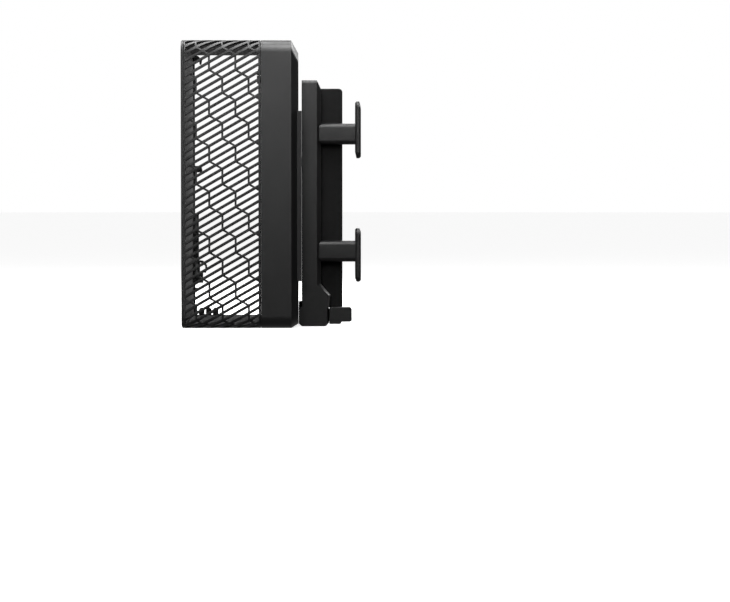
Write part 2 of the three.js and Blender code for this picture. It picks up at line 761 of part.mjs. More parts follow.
const USB = {
  width: 14.4,
  height: 14.6,
  depth: 17.5,
  socket: { width: 12.5, depth: 12, levels: [[0.9, 6], [8.4, 13.5]] },
  tongue: { width: 11, thickness: 1.9, recess: 1 },
};
const DISPLAY = {
  width: 17,
  height: 6.4,
  depth: 17,
  socket: { width: 15.6, depth: 9, levels: [[0.8, 5.6]] },
  tongue: { width: 13.2, thickness: 1.6, recess: 1 },
};
const USB_C = {
  width: 9.8,
  height: 4.2,
  depth: 8,
  socket: { width: 8.4, depth: 6, levels: [[0.8, 3.4]] },
  tongue: { width: 6.7, thickness: 0.7, recess: 0.6 },
};
const NETWORK = {
  width: 16,
  height: 13.6,
  depth: 20,
  socket: { width: 11.8, depth: 12.5, levels: [[2.4, 10.6]] },
};

const INLET = { width: 11, height: 11, depth: 14, mouth: 3.8, mouthDepth: 9, pin: 1 };

function powerInlet() {
  const { width, height, depth, mouth, mouthDepth, pin } = INLET;
  const block = box([-width / 2, width / 2], [-depth, 0], [0, height]);
  const mouthHole = new THREE.CylinderGeometry(mouth, mouth, mouthDepth + 1, 24);
  mouthHole.translate(0, (1 - mouthDepth) / 2, height / 2);
  const pinRod = new THREE.CylinderGeometry(pin, pin, mouthDepth, 12);
  pinRod.translate(0, -mouthDepth / 2 - 1, height / 2);
  return block.subtract(solid(mouthHole)).add(solid(pinRod));
}

const PORTS = [
  { name: 'power_inlet', x: 32, ...INLET, shape: powerInlet() },
  { name: 'usb_c_port', x: 45, ...USB_C, shape: port(USB_C) },
  { name: 'display_port_1', x: 61, ...DISPLAY, shape: port(DISPLAY) },
  { name: 'display_port_2', x: 80.5, ...DISPLAY, shape: port(DISPLAY) },
  { name: 'usb_ports_1', x: 99, ...USB, shape: port(USB) },
  { name: 'usb_ports_2', x: 116, ...USB, shape: port(USB) },
  { name: 'network_port', x: 134, ...NETWORK, shape: port(NETWORK) },
];
const VENT = { x: [146, 178], z: [9, 21], slots: 9 };

for (const { name, x, shape } of PORTS) {
  const finish = name === 'power_inlet' ? blackPlastic : portSteel;
  addPiece(pc, name, shape, finish, [x, PORT_FACE, onBoard]);
}

// The connector plate fills the window in the tray's wall, with a hole for each connector and
// upright slots in front of the heat sink.
function connectorPlate() {
  const spanX = [WINDOW.x[0] + GAP, WINDOW.x[1] - GAP];
  const spanZ = [WINDOW.z[0] + GAP, WINDOW.z[1] - GAP];
  let plate = box(spanX, SHIELD_FACE, spanZ);
  const through = [SHIELD_FACE[0] - 1, SHIELD_FACE[1] + 1];
  for (const { x, width, height } of PORTS) {
    const hole = [x - width / 2 - GAP, x + width / 2 + GAP];
    plate = plate.subtract(box(hole, through, [onBoard - GAP, onBoard + height + GAP]));
  }
  const step = (VENT.x[1] - VENT.x[0]) / VENT.slots;
  for (let i = 0; i < VENT.slots; i += 1) {
    const x = VENT.x[0] + i * step;
    plate = plate.subtract(box([x, x + step / 2], through, VENT.z));
  }
  return plate;
}

addPiece(pc, 'connector_plate', connectorPlate(), darkSheet);

// ---------------------------------------------------------------- power button and light

const BUTTON_FACE = HEIGHT - 0.3;
const BUTTON_STEM = { radius: 1.5, length: 7.2 };
const RETAINER = { lip: 1, thickness: 1.2 };

// Modelled along z and turned so that it points up the standing PC.
function powerButton() {
  const retainer = BUTTON_FACE - (HEIGHT - TRAY_WALL) + GAP;
  const foot = -retainer - RETAINER.thickness;
  const edge = 0.3;
  return turned([
    [0, -BUTTON_STEM.length],
    [BUTTON_STEM.radius, -BUTTON_STEM.length],
    [BUTTON_STEM.radius, foot],
    [BUTTON.radius + RETAINER.lip, foot],
    [BUTTON.radius + RETAINER.lip, -retainer],
    [BUTTON.radius, -retainer],
    [BUTTON.radius, -edge],
    [BUTTON.radius - edge, 0],
    [0, -edge],
  ], 32);
}

const button = new THREE.Group();
button.position.set(BUTTON_FACE, BUTTON.y, BUTTON.z);
button.rotation.y = Math.PI / 2;
pc.add(button);
addPiece(button, 'power_button', powerButton(), blackPlastic);

const statusLight = addPiece(pc, 'status_light', bar(LIGHT.radius, [-8, 0], 0, 0, 16), lightPipe);
statusLight.position.set(HEIGHT - 0.1, LIGHT.y, LIGHT.z);
statusLight.rotation.y = Math.PI / 2;

function buttonSwitch() {
  const can = box([-6, 0], [-4, 4], [0, 10]);
  const plunger = box([-0.5, 2], [-1.3, 1.3], [5.6, 8]);
  return can.add(plunger);
}

addPiece(pc, 'button_switch', buttonSwitch(), portSteel, [191.5, BUTTON.y, onBoard]);

// ---------------------------------------------------------------- shroud

const SHROUD_BACK = TRAY_WIDTH + GAP;
const SHROUD_FRONT = WIDTH - SHELL - GAP;
const NEAR_FLAT = [CORNER_RADIUS, HEIGHT - CORNER_RADIUS];
const SIDE_FLAT = [-HALF_DEPTH + CORNER_RADIUS, HALF_DEPTH];
const FAR_MARGIN = 6;
const ROW_STEP = 1.5 * HEX_SIDE;

// Grilles are drawn in (a, b): a from the front of the face panel towards the tray, b along the skin.
function grillePanel([b0, b1], holes) {
  const span = [WIDTH - SHROUD_FRONT, WIDTH - SHROUD_BACK];
  let panel = box(span, [b0, b1], [0, SHELL]);
  for (const hole of holes) panel = panel.subtract(prism(hole, [-1, SHELL + 1]));
  return panel;
}

// Stands a flat panel up in the PC's frame: its a runs towards the tray, its b along `run` and its
// thickness along `rise`.
function standPanel(panel, run, rise, [x, y]) {
  const matrix = new THREE.Matrix4().makeBasis(new THREE.Vector3(0, 0, -1), run, rise);
  matrix.setPosition(x, y, WIDTH);
  return panel.transform(matrix.toArray());
}

const SLIT_SPAN = [RIM, WIDTH - SHROUD_BACK - SEAM];

// A quarter of round skin between the near side and the bottom. A short lip laps the near side.
function cornerStrip() {
  const steps = 6;
  const lap = 0.3;
  const outline = [new THREE.Vector2(lap, SHELL - CORNER_RADIUS), new THREE.Vector2(lap, -CORNER_RADIUS)];
  for (const [radius, order] of [[CORNER_RADIUS, 1], [CORNER_RADIUS - SHELL, -1]]) {
    for (let i = 0; i <= steps; i += 1) {
      const share = order > 0 ? i / steps : 1 - i / steps;
      const angle = share * (Math.PI / 2);
      outline.push(new THREE.Vector2(-radius * Math.sin(angle), -radius * Math.cos(angle)));
    }
  }
  return prism(outline.reverse(), [SHROUD_BACK, SHROUD_FRONT]);
}

// The near side with both rounded edges, so that the top and bottom panels meet it on a flat.
function nearGrille() {
  const [low, high] = NEAR_FLAT;
  const holes = slits(SLIT_SPAN, [low + 1, high - 1], HEX_ROW_HEIGHT, SLATS_PER_HEX, SLAT);
  const panel = standPanel(
    grillePanel([low, high], holes),
    new THREE.Vector3(1, 0, 0),
    new THREE.Vector3(0, -1, 0),
    [0, SHELL - HALF_DEPTH],
  );
  const bottomEdge = cornerStrip().translate([low, -HALF_DEPTH + CORNER_RADIUS, 0]);
  const topEdge = cornerStrip().mirror([1, 0, 0]).translate([high, -HALF_DEPTH + CORNER_RADIUS, 0]);
  return panel.add(bottomEdge).add(topEdge);
}

// A prism along y of an outline whose points are [x, z] in the PC's frame.
function acrossDepth(outline, [y0, y1]) {
  const flat = outline.map((point) => new THREE.Vector2(point.x, -point.y)).reverse();
  return prism(flat, [0, y1 - y0]).rotate([-90, 0, 0]).translate([0, y0, 0]);
}

// Half as many slats cross each hexagon on the top and the bottom. `side` is 1 for the top.
function endGrille(side) {
  const [start, end] = [SIDE_FLAT[0] + GAP, SIDE_FLAT[1]];
  const quarter = (Math.PI / 2) * CORNER_RADIUS;
  const edgeHeight = side > 0 ? NEAR_FLAT[1] : NEAR_FLAT[0];
  const along = (side * (edgeHeight - HEX_ROW_HEIGHT)) + quarter;
  const rowAt = SIDE_FLAT[0] - along + (Math.round(along / ROW_STEP / 2) * 2) * ROW_STEP;
  const holes = slits(SLIT_SPAN, [start + 2, end - FAR_MARGIN], rowAt, 2, 2 * SLAT, 8);
  return standPanel(
    grillePanel([start, end], holes),
    new THREE.Vector3(0, 1, 0),
    new THREE.Vector3(1, 0, 0),
    [side > 0 ? HEIGHT - SHELL : 0, 0],
  );
}

// Three snap lugs inside the bottom, near its far edge and the face panel.
const LUG = { width: 4.2, height: 5.8, pitch: 5.3, first: 5.8, y: [HALF_DEPTH - 9, HALF_DEPTH - 4] };

function bottomGrille() {
  let panel = endGrille(-1);
  for (let i = 0; i < 3; i += 1) {
    const front = WIDTH - LUG.first - i * LUG.pitch;
    const edge = 1.2;
    const outline = polygon([
      [SHELL - ROOT, front - LUG.width],
      [SHELL + LUG.height - edge, front - LUG.width],
      [SHELL + LUG.height, front - LUG.width + edge],
      [SHELL + LUG.height, front - edge],
      [SHELL + LUG.height - edge, front],
      [SHELL - ROOT, front],
    ]);
    panel = panel.add(acrossDepth(outline, LUG.y));
  }
  return panel;
}

const shroud = new THREE.Group();
pc.add(shroud);
addPiece(shroud, 'near_grille', nearGrille(), blackShell);
addPiece(shroud, 'top_grille', endGrille(1), blackShell);
addPiece(shroud, 'bottom_grille', bottomGrille(), blackShell);

// Outlines of the hooks that stand inside the face panel near its far edge. [height, reach] from
// the panel's inner side, so each one starts a little inside it.
const HOOK_DEPTH = [HALF_DEPTH - 10, HALF_DEPTH - 4];

function faceHooks() {
  const upperHook = [
    [196, -ROOT], [200, -ROOT], [200, 3.9], [197, 7], [193.4, 6.4], [193.4, 5.2], [196, 4.8],
  ];
  const middleLug = [[111, -ROOT], [116, -ROOT], [116, 6.2], [112.5, 7.1], [111, 6.4]];
  const longRib = [[44, -ROOT], [79, -ROOT], [79, 4.2], [44, 4.2]];
  const cableLoop = [
    [34, -ROOT], [44.2, -ROOT], [43.4, 7.4], [40, 10.4], [36.5, 10.5], [34, 9.4], [34, 8.4], [36.5, 9.2],
    [39.3, 9.1], [41.6, 7], [42, 5], [34, 5],
  ];
  const block = [[26.4, -ROOT], [34.2, -ROOT], [34.2, 7.4], [26.4, 7.4]];
  const nub = [[20, -ROOT], [22.5, -ROOT], [22.5, 3.8], [20, 3.8]];
  const inner = WIDTH - SHELL;
  return [upperHook, middleLug, longRib, cableLoop, block, nub].map((outline) => (
    polygon(outline.map(([height, reach]) => [height, inner - reach])).reverse()
  ));
}

// The face panel carries those hooks, and a stiffening rib along its far edge.
function facePanel() {
  const bevel = 0.8;
  const rib = { width: 2, height: 1.2 };
  let panel = loft([
    { outline: caseOutline(0), height: WIDTH - SHELL },
    { outline: caseOutline(0), height: WIDTH - bevel },
    { outline: caseOutline(bevel), height: WIDTH },
  ]);
  const ribSpan = [SHELL + 2 * GAP, HEIGHT - SHELL - 2 * GAP];
  const ribReach = [WIDTH - SHELL - rib.height, WIDTH - SHELL + ROOT];
  panel = panel.add(box(ribSpan, [HALF_DEPTH - rib.width, HALF_DEPTH], ribReach));
  for (const hook of faceHooks()) panel = panel.add(acrossDepth(hook, HOOK_DEPTH));
  return panel;
}

addPiece(shroud, 'face_panel', facePanel(), blackShell);

// A steel tab hangs inside the shroud's top and takes the captive thumbscrew.
const TAB_LEVEL = [TRAY_WIDTH + 0.2, TRAY_WIDTH + 1.4];

function coverTab() {
  const top = HEIGHT - SHELL - GAP;
  const outline = roundedRectangle([THUMB.x - 8, top], [THUMB.y - 9, THUMB.y + 9], 3, 3);
  const plate = prism(outline, TAB_LEVEL, [circle(THUMB.x, THUMB.y, 2.3, 16)]);
  const flange = box([top - 1.2, top], [THUMB.y - 9, THUMB.y + 9], [TAB_LEVEL[0], TAB_LEVEL[0] + 4]);
  return plate.add(flange);
}

addPiece(shroud, 'cover_tab', coverTab(), zincSteel);

function thumbscrew() {
  const ridges = 16;
  const knob = [];
  for (let i = 0; i < 2 * ridges; i += 1) {
    const radius = i % 2 === 0 ? 5.6 : 5.1;
    const angle = (i / ridges) * Math.PI;
    knob.push(new THREE.Vector2(radius * Math.cos(angle), radius * Math.sin(angle)));
  }
  const slot = box([-4, 4], [-0.5, 0.5], [3, 5]);
  return prism(knob, [0, 3.8]).subtract(slot).add(bar(1.9, [-5.5, 0.5], 0, 0, 16));
}

addPiece(shroud, 'thumbscrew', thumbscrew(), nickel, [THUMB.x, THUMB.y, TAB_LEVEL[1] + SEAT]);

// ---------------------------------------------------------------- bracket

const WALL_X = 13.6;             // reach of a side wall from the web's face
const EDGE = 2.7;                // chamfer along a side wall's outer edge
const TOP_SLOPE = 6;             // height of the slope at a side wall's top
const FOOT = { reach: 20.4, height: 30, shoulder: 22.2, toeTop: 13.4, toe: 1, cutX: 3.3, cutHeight: 2.3 };
const LEDGE = { reach: PLATE + PLATE_GAP, low: 1.9, high: 13.2, slope: 0.3 };

// Side view of a side wall: x from the web's face, y up. `inset` draws the edges towards the column
// back by that much.
function wallOutline(inset) {
  const toe = FOOT.reach - inset / 2;
  return polygon([
    [0, 0],
    [toe - FOOT.cutX, 0],
    [toe - FOOT.toe, FOOT.cutHeight],
    [toe - FOOT.toe, FOOT.toeTop],
    [toe, FOOT.shoulder],
    [WALL_X - inset, FOOT.height],
    [WALL_X - inset, BRACKET_HEIGHT - TOP_SLOPE],
    [WALL_X - EDGE - 0.1, BRACKET_HEIGHT],
    [0, BRACKET_HEIGHT],
    [0, LEDGE.high + LEDGE.slope],
    [-LEDGE.reach, LEDGE.high],
    [-LEDGE.reach, LEDGE.low],
  ]);
}

// Built with its outer face at z = SIDE_WALL, then stood up with that face outwards.
function sideWall(side) {
  const wall = loft([
    { outline: wallOutline(0), height: 0 },
    { outline: wallOutline(0), height: SIDE_WALL - EDGE },
    { outline: wallOutline(EDGE), height: SIDE_WALL },
  ]);
  const standing = wall.rotate([90, 0, 0]).translate([0, SIDE_WALL - BRACKET_HALF, 0]);
  return side < 0 ? standing : standing.mirror([0, 1, 0]);
}

// A round bar along X between two distances from the web's face.
function barAcross(radius, [x0, x1], y, z, sides = 20) {
  const geometry = new THREE.CylinderGeometry(radius, radius, x1 - x0, sides);
  geometry.rotateZ(Math.PI / 2);
  geometry.translate((x0 + x1) / 2, y, z);
  return solid(geometry);
}

// A slot with round ends, cut along X, as tall as the PC's lift.
function liftSlot(radius, span, y) {
  const top = STUD_HEIGHT + LIFT;
  const ends = barAcross(radius, span, y, STUD_HEIGHT).add(barAcross(radius, span, y, top));
  return ends.add(box(span, [y - radius, y + radius], [STUD_HEIGHT, top]));
}

// Keyhole for a hanger stud: a narrow slot for the neck, a pocket for the head and a wide entry.
function keyhole(y) {
  const through = [-1, WEB + 1];
  const head = STUD.head + 0.75;
  const neckSlot = liftSlot(STUD.neck + 0.5, through, y);
  const pocket = liftSlot(head, [THIN_WEB, WEB + 1], y);
  return neckSlot.add(pocket).add(barAcross(head, through, y, STUD_HEIGHT + LIFT));
}

const CHEEK = { x: [WEB + PAD + GAP, 29.2], z: [13, 170], thickness: 6 };
const LATCH = { tongue: 2, reach: [19.4, 35.4], low: 1.6, high: 13.4, step: 27.2, stepHeight: 1.6 };
const LATCH_RIB = { half: 3, z: [3, 12], thickness: 1 };
const COLUMN_HOLES = { radius: 2.2, places: [[-22, 24], [22, 24], [-22, 160], [22, 160]] };

function mountBracket() {
  const padHalf = BRACKET_HALF - SIDE_WALL - CHEEK.thickness - 2 * GAP;
  let body = box([0, WEB], [-BRACKET_HALF, BRACKET_HALF], [0, BRACKET_HEIGHT]);
  body = body.add(box([WEB - 0.1, WEB + PAD], [-padHalf, padHalf], [0, BRACKET_HEIGHT]));
  body = body.add(sideWall(-1)).add(sideWall(1));
  for (const y of STUDS) body = body.subtract(keyhole(y));
  for (const [y, z] of COLUMN_HOLES.places) {
    body = body.subtract(barAcross(COLUMN_HOLES.radius, [-1, WEB + 1], y, z, 16));
  }
  return body.subtract(barAcross(LATCH.tongue + 0.4, [-1, FOOT.reach + 1], KEEPER.y, KEEPER.x, 16));
}

addPiece(bracket, 'mount_bracket', mountBracket(), blackBracket);

// Clamp cheek: a slab beside the column, inside the side wall, with one corner rounded by two facets.
function clampCheek(side) {
  const corner = 2.2;
  const middle = corner * (1 - Math.SQRT1_2);
  const outline = polygon([
    [CHEEK.x[0], CHEEK.z[0]],
    [CHEEK.x[1], CHEEK.z[0]],
    [CHEEK.x[1], CHEEK.z[1] - corner],
    [CHEEK.x[1] - middle, CHEEK.z[1] - middle],
    [CHEEK.x[1] - corner, CHEEK.z[1]],
    [CHEEK.x[0], CHEEK.z[1]],
  ]);
  const outer = BRACKET_HALF - SIDE_WALL - GAP;
  const slab = prism(outline, [0, CHEEK.thickness]).rotate([90, 0, 0]);
  const near = slab.translate([0, CHEEK.thickness - outer, 0]);
  return side < 0 ? near : near.mirror([0, 1, 0]);
}

addPiece(bracket, 'clamp_cheek_near', clampCheek(-1), blackBracket);
addPiece(bracket, 'clamp_cheek_far', clampCheek(1), blackBracket);

// ---------------------------------------------------------------- cable posts

// The two posts stand on the near side wall only. Each end plate is off centre, and has a slope at
// one end of its inner face and at the other end of its outer face.
const POST = { barHeight: 14.9, barDepth: 11, barRadius: 3, plate: 4, plateDepth: 13.4, plateRadius: 4 };
const POSTS = [
  { name: 'upper_cable_post', z: 137.3, plateHeight: 40.6, offset: 3, slope: 3.3 },
  { name: 'lower_cable_post', z: 53.6, plateHeight: 38.4, offset: -2.7, slope: 1.4 },
];
const POST_Y = -(BRACKET_HALF - 0.7 - POST.barDepth / 2);
const POST_END = OVERALL_WIDTH / 2 - BRACKET_X;
const POST_BASE = WALL_X - EDGE + GAP;

// The room that the side wall takes at the foot of a post's bar, with a gap all round.
function wallRoom() {
  const wide = 2 * EDGE;
  const outline = polygon([
    [-1, -BRACKET_HALF - wide],
    [WALL_X - EDGE - wide + 2 * GAP, -BRACKET_HALF - wide],
    [WALL_X + GAP, -BRACKET_HALF + EDGE - GAP],
    [WALL_X + GAP, 0],
    [-1, 0],
  ]);
  return prism(outline, [0, BRACKET_HEIGHT]);
}

// Lies along z first: the bar starts at 0 and the end plate closes it. x is down, y across.
function cablePost({ z, plateHeight, offset, slope }) {
  const length = POST_END - POST_BASE;
  const { barHeight, barDepth, barRadius, plate, plateDepth, plateRadius } = POST;
  const halfBar = [barHeight / 2, barDepth / 2];
  const barOutline = roundedRectangle([-halfBar[0], halfBar[0]], [-halfBar[1], halfBar[1]], barRadius, 4);
  const edge = 1;
  const plateAt = (inset, lowerSlope, upperSlope) => roundedRectangle(
    [-offset - plateHeight / 2 + inset + upperSlope, -offset + plateHeight / 2 - inset - lowerSlope],
    [-plateDepth / 2 + inset, plateDepth / 2 - inset],
    plateRadius - inset,
    4,
  );
  const endPlate = loft([
    { outline: plateAt(edge, slope, 0), height: length - plate },
    { outline: plateAt(0, 0, 0), height: length - plate + edge },
    { outline: plateAt(0, 0, 0), height: length - edge },
    { outline: plateAt(edge, 0, slope), height: length },
  ]);
  const lying = prism(barOutline, [0, length - edge]).add(endPlate);
  const standing = lying.rotate([0, 90, 0]).translate([POST_BASE, POST_Y, z]);
  return standing.subtract(wallRoom());
}

for (const post of POSTS) {
  addPiece(bracket, post.name, cablePost(post), blackBracket);
}

// ---------------------------------------------------------------- release latch

// A finger tab beside the foot, with a round tongue that points at the tray's keeper hole and a
// guide rib that runs along the inside of the side wall.
function releaseLatch() {
  const [start, end] = LATCH.reach;
  const step = LATCH.low + LATCH.stepHeight;
  const outline = polygon([
    [start, LATCH.low],
    [LATCH.step, LATCH.low],
    [LATCH.step + 1, step],
    [end - 1, step],
    [end, step + 1],
    [end, LATCH.high - 1],
    [end - 1, LATCH.high],
    [start, LATCH.high],
  ]);
  const half = (SIDE_WALL - 1) / 2;
  const wall = SIDE_WALL / 2 + GAP;
  const tab = prism(outline, [-half, half]).rotate([90, 0, 0]);
  const tongue = new THREE.CylinderGeometry(LATCH.tongue, LATCH.tongue, start + 1, 16);
  tongue.rotateZ(Math.PI / 2);
  tongue.translate((start + 1) / 2 - 1, 0, KEEPER.x);
  const ribY = [wall, wall + LATCH_RIB.thickness];
  const rib = box([start - LATCH_RIB.half, start + LATCH_RIB.half], ribY, LATCH_RIB.z);
  const neck = box([start + GAP, start + LATCH_RIB.half], [half - ROOT, ribY[1]], LATCH_RIB.z);
  return tab.add(solid(tongue)).add(rib).add(neck);
}

addPiece(bracket, 'release_latch', releaseLatch(), blackBracket, [GAP, KEEPER.y, 0]);

export default miniPc;
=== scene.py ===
"""Looks of the mini PC: softened CAD parts, their materials, and a shroud whose slats wrap its edges."""

import json
import math

import bmesh
import bpy
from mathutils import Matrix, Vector
from mathutils.geometry import delaunay_2d_cdt


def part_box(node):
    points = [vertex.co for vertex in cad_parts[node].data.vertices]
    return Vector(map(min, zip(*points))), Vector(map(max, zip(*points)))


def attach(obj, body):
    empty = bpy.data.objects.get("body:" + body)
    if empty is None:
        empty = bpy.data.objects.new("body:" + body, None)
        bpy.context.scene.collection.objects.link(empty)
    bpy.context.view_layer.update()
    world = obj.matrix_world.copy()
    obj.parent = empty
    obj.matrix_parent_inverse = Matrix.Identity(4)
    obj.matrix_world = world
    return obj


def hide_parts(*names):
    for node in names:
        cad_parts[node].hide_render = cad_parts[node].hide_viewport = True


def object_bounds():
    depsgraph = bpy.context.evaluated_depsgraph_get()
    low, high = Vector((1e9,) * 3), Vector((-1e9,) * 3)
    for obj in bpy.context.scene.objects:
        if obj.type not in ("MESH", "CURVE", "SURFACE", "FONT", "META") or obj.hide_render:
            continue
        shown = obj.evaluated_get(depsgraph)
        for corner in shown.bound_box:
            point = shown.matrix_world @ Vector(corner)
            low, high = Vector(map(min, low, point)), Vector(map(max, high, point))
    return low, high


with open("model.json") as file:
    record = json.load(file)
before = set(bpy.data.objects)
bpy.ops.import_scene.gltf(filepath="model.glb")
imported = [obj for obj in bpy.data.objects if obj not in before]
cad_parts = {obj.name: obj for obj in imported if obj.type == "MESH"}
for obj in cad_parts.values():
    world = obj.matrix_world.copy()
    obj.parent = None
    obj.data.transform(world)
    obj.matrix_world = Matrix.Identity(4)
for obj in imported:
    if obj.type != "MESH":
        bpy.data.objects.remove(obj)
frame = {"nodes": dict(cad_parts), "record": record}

CAD_LOW, CAD_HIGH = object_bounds()
MM = 0.001


# ------------------------------------------------------------------ camera

def make_camera():
    """A long lens far from the grille side, turned a little down and to the right of the object."""
    low, high = CAD_LOW, CAD_HIGH
    to_near_side = 1850 * MM
    from_back = 43.45 * MM
    eye_height = 94.2 * MM
    yaw = math.radians(1.411)
    pitch = math.radians(2.317)
    data = bpy.data.cameras.new("camera")
    data.lens = 129.95
    data.sensor_width = 36
    data.clip_end = 50
    camera = bpy.data.objects.new("camera", data)
    camera.location = (high.x - from_back, low.y - to_near_side, eye_height)
    camera.rotation_euler = (math.pi / 2 - pitch, 0, -yaw)
    bpy.context.collection.objects.link(camera)
    bpy.context.scene.camera = camera


make_camera()


# ------------------------------------------------------------------ node helpers

class Shader:
    """A material under construction: adds nodes and joins them by socket name."""

    def __init__(self, name):
        self.material = bpy.data.materials.new(name)
        self.material.use_nodes = True
        self.tree = self.material.node_tree
        self.surface = self.tree.nodes["Principled BSDF"]
        self.place = self.add("ShaderNodeTexCoord").outputs["Object"]

    def add(self, kind, **settings):
        node = self.tree.nodes.new(kind)
        for key, value in settings.items():
            setattr(node, key, value)
        return node

    def join(self, output, socket):
        self.tree.links.new(output, socket)

    def set(self, **values):
        for key, value in values.items():
            self.surface.inputs[key.replace("_", " ")].default_value = value

    def noise(self, scale, detail=3.0, roughness=0.6, place=None):
        node = self.add("ShaderNodeTexNoise")
        node.inputs["Scale"].default_value = scale
        node.inputs["Detail"].default_value = detail
        node.inputs["Roughness"].default_value = roughness
        self.join(place or self.place, node.inputs["Vector"])
        return node.outputs["Fac"]

    def remap(self, value, low, high, start=0.3, end=0.7):
        node = self.add("ShaderNodeMapRange")
        node.inputs["From Min"].default_value = start
        node.inputs["From Max"].default_value = end
        node.inputs["To Min"].default_value = low
        node.inputs["To Max"].default_value = high
        self.join(value, node.inputs["Value"])
        return node.outputs["Result"]

    def blend(self, factor, first, second):
        node = self.add("ShaderNodeMix", data_type="RGBA")
        colours = [socket for socket in node.inputs if socket.type == "RGBA"]
        colours[0].default_value = (*first, 1)
        colours[1].default_value = (*second, 1)
        self.join(factor, node.inputs["Factor"])
        return next(socket for socket in node.outputs if socket.type == "RGBA")

    def stretched(self, scale):
        node = self.add("ShaderNodeMapping")
        node.inputs["Scale"].default_value = scale
        self.join(self.place, node.inputs["Vector"])
        return node.outputs["Vector"]

    def bump(self, height, distance, strength=1.0, before=None):
        node = self.add("ShaderNodeBump")
        node.inputs["Strength"].default_value = strength
        node.inputs["Distance"].default_value = distance
        self.join(height, node.inputs["Height"])
        if before:
            self.join(before, node.inputs["Normal"])
        return node.outputs["Normal"]

    def finish(self, colour=None, roughness=None, normal=None):
        for value, name in ((colour, "Base Color"), (roughness, "Roughness"), (normal, "Normal")):
            if value:
                self.join(value, self.surface.inputs[name])
        return self.material


# ------------------------------------------------------------------ materials

def grey(value):
    """A neutral black with the trace of blue that such mouldings have."""
    return (value, value, value * 1.03)


def moulded_plastic(name, dark, light, smooth, rough, specular=0.5, grain=0.012 * MM):
    """Black plastic with a spark-eroded grain, faint flow marks and uneven gloss."""
    shader = Shader(name)
    shader.set(Specular_IOR_Level=specular)
    flow = shader.noise(14, detail=2)
    handled = shader.noise(45, detail=4)
    fine = shader.noise(2600, detail=2, roughness=0.5)
    coarse = shader.noise(900, detail=2)
    colour = shader.blend(shader.remap(flow, 0, 1), grey(dark), grey(light))
    roughness = shader.remap(handled, smooth, rough)
    normal = shader.bump(fine, grain)
    normal = shader.bump(coarse, grain, 0.6, before=normal)
    return shader.finish(colour, roughness, normal)


def powder_coat(name, dark, light):
    """Black powder coat: orange peel over sheet steel."""
    shader = Shader(name)
    shader.set(Specular_IOR_Level=0.35)
    peel = shader.noise(700, detail=2)
    patch = shader.noise(30)
    colour = shader.blend(shader.remap(patch, 0, 1), grey(dark), grey(light))
    roughness = shader.remap(patch, 0.42, 0.55)
    return shader.finish(colour, roughness, shader.bump(peel, 0.02 * MM))


def plated_steel(name, dark, light, smooth=0.24, rough=0.42):
    """Bright plated sheet or wire with a drawn grain and a little tarnish."""
    shader = Shader(name)
    shader.set(Metallic=1.0)
    tarnish = shader.noise(160, detail=4)
    drawn = shader.noise(600, detail=2, place=shader.stretched((1, 1, 9)))
    colour = shader.blend(shader.remap(tarnish, 0, 1), dark, light)
    roughness = shader.remap(tarnish, rough, smooth)
    return shader.finish(colour, roughness, shader.bump(drawn, 0.004 * MM))


def circuit_board(name):
    """Green solder mask over copper tracks that show as faint lighter, raised lines."""
    shader = Shader(name)
    shader.set(Coat_Weight=0.4, Coat_Roughness=0.2)
    cells = shader.add("ShaderNodeTexVoronoi", feature="DISTANCE_TO_EDGE", distance="EUCLIDEAN")
    cells.inputs["Scale"].default_value = 260
    cells.inputs["Randomness"].default_value = 0.75
    shader.join(shader.place, cells.inputs["Vector"])
    tracks = shader.remap(cells.outputs["Distance"], 1, 0, 0.02, 0.06)
    colour = shader.blend(tracks, (0.006, 0.042, 0.022), (0.014, 0.085, 0.042))
    roughness = shader.remap(shader.noise(120), 0.3, 0.42)
    return shader.finish(colour, roughness, shader.bump(tracks, 0.03 * MM))


def clear_plastic(name):
    """Clear plastic with a slight haze, as a light pipe has."""
    shader = Shader(name)
    shader.set(Transmission_Weight=0.7, IOR=1.5)
    haze = shader.noise(400, detail=2)
    colour = shader.blend(shader.remap(haze, 0, 1), (0.7, 0.78, 0.82), (0.86, 0.9, 0.92))
    return shader.finish(colour, shader.remap(haze, 0.12, 0.3))


def cable_sheath(name):
    """Matt black sheath of a thin lead, a little uneven along its length."""
    shader = Shader(name)
    ripple = shader.noise(900, detail=2)
    colour = shader.blend(shader.remap(ripple, 0, 1), (0.008, 0.008, 0.008), (0.016, 0.016, 0.017))
    return shader.finish(colour, shader.remap(ripple, 0.5, 0.65), shader.bump(ripple, 0.02 * MM))


MATERIALS = {
    "shell_black": moulded_plastic("shell_black", 0.0068, 0.009, 0.38, 0.46),
    "bracket_black": moulded_plastic("bracket_black", 0.0072, 0.0092, 0.38, 0.46),
    "component_black": moulded_plastic("component_black", 0.008, 0.011, 0.35, 0.5),
    # The cheek_rubber slot is painted shade: a darker, less glossy copy of the bracket plastic that stands
    # in for the shade the cable posts and the side wall cast on the clamp cheeks.
    "cheek_rubber": moulded_plastic("cheek_rubber", 0.0035, 0.0045, 0.5, 0.6, specular=0.2),
    "sheet_black": powder_coat("sheet_black", 0.0065, 0.0095),
    "zinc_steel": plated_steel("zinc_steel", (0.5, 0.51, 0.53), (0.66, 0.67, 0.69), 0.28, 0.45),
    "nickel": plated_steel("nickel", (0.58, 0.57, 0.54), (0.7, 0.69, 0.66), 0.18, 0.32),
    "port_steel": plated_steel("port_steel", (0.5, 0.5, 0.51), (0.62, 0.62, 0.63)),
    "fin_aluminium": plated_steel("fin_aluminium", (0.66, 0.67, 0.69), (0.76, 0.77, 0.79), 0.3, 0.45),
    "board_green": circuit_board("board_green"),
    "light_pipe": clear_plastic("light_pipe"),
    "lead_black": cable_sheath("lead_black"),
}


def cover(piece, slot):
    """Gives a piece the one material of its record slot."""
    piece.data.materials.clear()
    piece.data.materials.append(MATERIALS[slot])


# ------------------------------------------------------------------ mesh helpers

SHARP = math.radians(35)


def new_piece(name, mesh):
    piece = bpy.data.objects.new(name, mesh)
    bpy.context.collection.objects.link(piece)
    return piece


